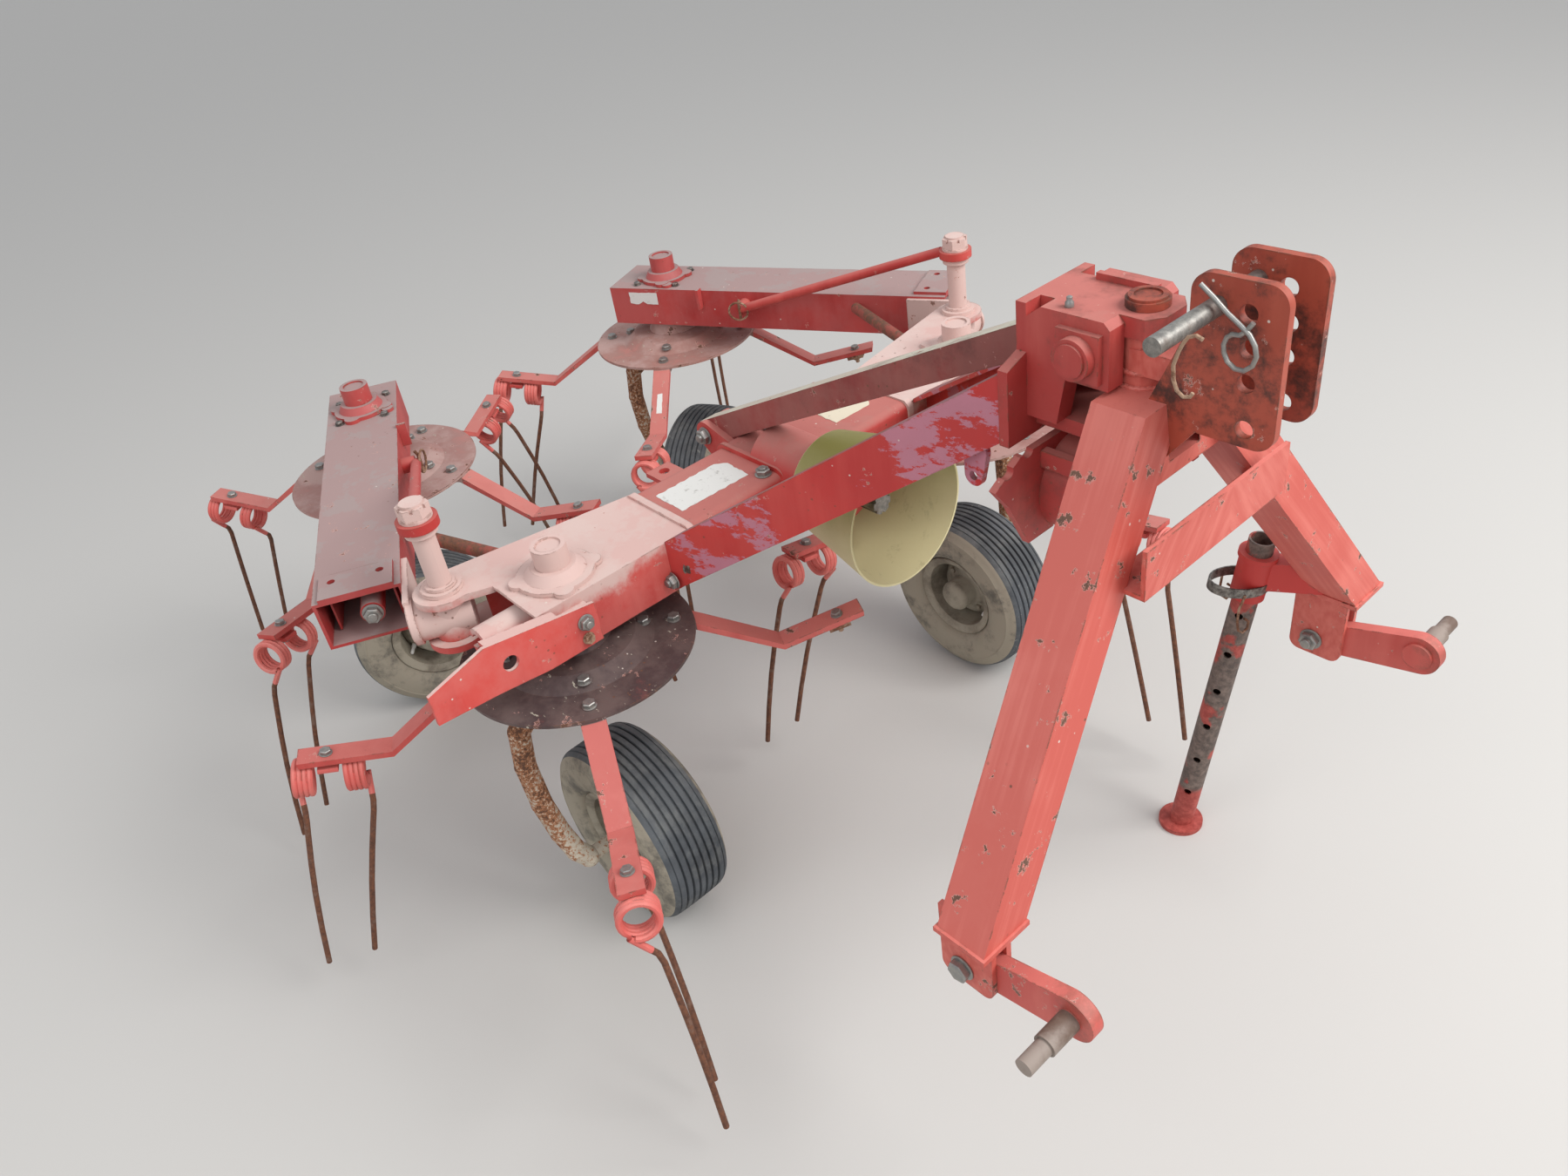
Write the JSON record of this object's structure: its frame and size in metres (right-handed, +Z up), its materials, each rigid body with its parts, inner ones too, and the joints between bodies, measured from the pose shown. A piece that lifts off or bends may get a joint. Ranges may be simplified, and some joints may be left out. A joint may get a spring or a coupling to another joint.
{
  "type": "hay tedder",
  "caption": "Mounted rotary hay tedder with tined rotors on small wheels, outer rotors folded back for the road, swinging headstock and parking stand.",
  "frame": {"origin": "on the ground under the bounding box's middle", "axes": "+X forward to the tractor along the machine, +Y to its left, +Z up"},
  "size_m": [2.1755, 1.903, 1.138],
  "materials": {
    "red_paint": "faded gloss, scratched, with rust at edges",
    "dusty_paint": "chalky faded paint under dust",
    "stained_paint": "dark stained paint, worn to metal",
    "crusted_paint": "dusty paint with dark crust",
    "rusty_steel": "rusty, pitted tube",
    "spring_steel": "rust-brown spring wire",
    "bare_steel": "dull zinc and grease",
    "olive_plastic": "sun-bleached, dusty",
    "rim_paint": "beige, dusty, rust-freckled",
    "tyre": "weathered grey-blue rubber, dusty sidewall"
  },
  "bodies": {
    "chassis": {"centre_beam": "dusty_paint", "gearbox": "red_paint", "pto_guard": "olive_plastic", "drawbar_arms": "red_paint", "spine_strut": "dusty_paint", "pivot_bracket": "red_paint", "pivot_pin": "bare_steel", "hinge_pins": "dusty_paint", "guard_brackets": "red_paint", "lock_struts": "rusty_steel", "wheel_leg_b": "rusty_steel", "wheel_leg_c": "rusty_steel"},
    "input_shaft": {"pto_shaft": "bare_steel"},
    "headstock": {"headstock_frame": "red_paint", "mast_plates": "stained_paint", "top_link_pin": "bare_steel", "lower_arms": "red_paint", "centring_plate": "red_paint", "stand_sleeve": "red_paint"},
    "parking_stand": {"stand": "rusty_steel"},
    "arm_right": {"outer_beam_right": "dusty_paint", "float_joint_right": "red_paint", "tie_rod_right": "dusty_paint", "wheel_leg_a": "rusty_steel"},
    "arm_left": {"outer_beam_left": "dusty_paint", "float_joint_left": "red_paint", "tie_rod_left": "dusty_paint", "wheel_leg_d": "rusty_steel"},
    "reel_a": {"rotor_a": "crusted_paint", "tines_a": "spring_steel"},
    "wheel_a": {"rim_a": "rim_paint", "tyre_a": "tyre"},
    "reel_b": {"rotor_b": "crusted_paint", "tines_b": "spring_steel"},
    "wheel_b": {"rim_b": "rim_paint", "tyre_b": "tyre"},
    "reel_c": {"rotor_c": "crusted_paint", "tines_c": "spring_steel"},
    "wheel_c": {"rim_c": "rim_paint", "tyre_c": "tyre"},
    "reel_d": {"rotor_d": "crusted_paint", "tines_d": "spring_steel"},
    "wheel_d": {"rim_d": "rim_paint", "tyre_d": "tyre"}
  },
  "joints": [
    {"name": "headstock_swing", "type": "hinge", "parent": "chassis", "child": "headstock", "pos_m": [0.8488, -0.02108, 0.98], "axis": [0, 0, 1], "range_deg": [-10, 10]},
    {"name": "stand_slide", "type": "slide", "parent": "headstock", "child": "parking_stand", "axis": [0.1089, 0.0654, 0.9919], "range_m": [0, 0.25]},
    {"name": "fold_right", "type": "hinge", "parent": "chassis", "child": "arm_right", "pos_m": [0.0678, -0.58308, 0.66], "axis": [0, 0, 1], "range_deg": [0, 116]},
    {"name": "fold_left", "type": "hinge", "parent": "chassis", "child": "arm_left", "pos_m": [0.0678, 0.54092, 0.66], "axis": [0, 0, -1], "range_deg": [0, 116]},
    {"name": "input_turn", "type": "hinge", "parent": "chassis", "child": "input_shaft", "pos_m": [0.3778, -0.02108, 0.657], "axis": [1, 0, 0], "continuous": true},
    {"name": "reel_a_turn", "type": "hinge", "parent": "arm_right", "child": "reel_a", "pos_m": [-0.61615, -0.38857, 0.56], "axis": [0, 0, 1], "continuous": true},
    {"name": "reel_b_turn", "type": "hinge", "parent": "chassis", "child": "reel_b", "pos_m": [0.1778, -0.45508, 0.56], "axis": [0, 0, 1], "continuous": true},
    {"name": "reel_c_turn", "type": "hinge", "parent": "chassis", "child": "reel_c", "pos_m": [0.1778, 0.41292, 0.56], "axis": [0, 0, 1], "continuous": true},
    {"name": "reel_d_turn", "type": "hinge", "parent": "arm_left", "child": "reel_d", "pos_m": [-0.61615, 0.34641, 0.56], "axis": [0, 0, 1], "continuous": true},
    {"name": "wheel_a_roll", "type": "hinge", "parent": "arm_right", "child": "wheel_a", "pos_m": [-0.62404, -0.40475, 0.165], "axis": [-0.8988, 0.4384, 0], "continuous": true},
    {"name": "wheel_b_roll", "type": "hinge", "parent": "chassis", "child": "wheel_b", "pos_m": [0.1958, -0.45508, 0.165], "axis": [0, -1, 0], "continuous": true},
    {"name": "wheel_c_roll", "type": "hinge", "parent": "chassis", "child": "wheel_c", "pos_m": [0.1958, 0.41292, 0.165], "axis": [0, 1, 0], "continuous": true},
    {"name": "wheel_d_roll", "type": "hinge", "parent": "arm_left", "child": "wheel_d", "pos_m": [-0.62404, 0.36259, 0.165], "axis": [-0.8988, -0.4384, 0], "continuous": true}
  ],
  "couplings": [
    {"joint": "reel_a_turn", "follows": "reel_b_turn", "ratio": -1},
    {"joint": "reel_c_turn", "follows": "reel_b_turn", "ratio": -1},
    {"joint": "reel_d_turn", "follows": "reel_b_turn", "ratio": 1},
    {"joint": "input_turn", "follows": "reel_b_turn", "ratio": 3}
  ]
}
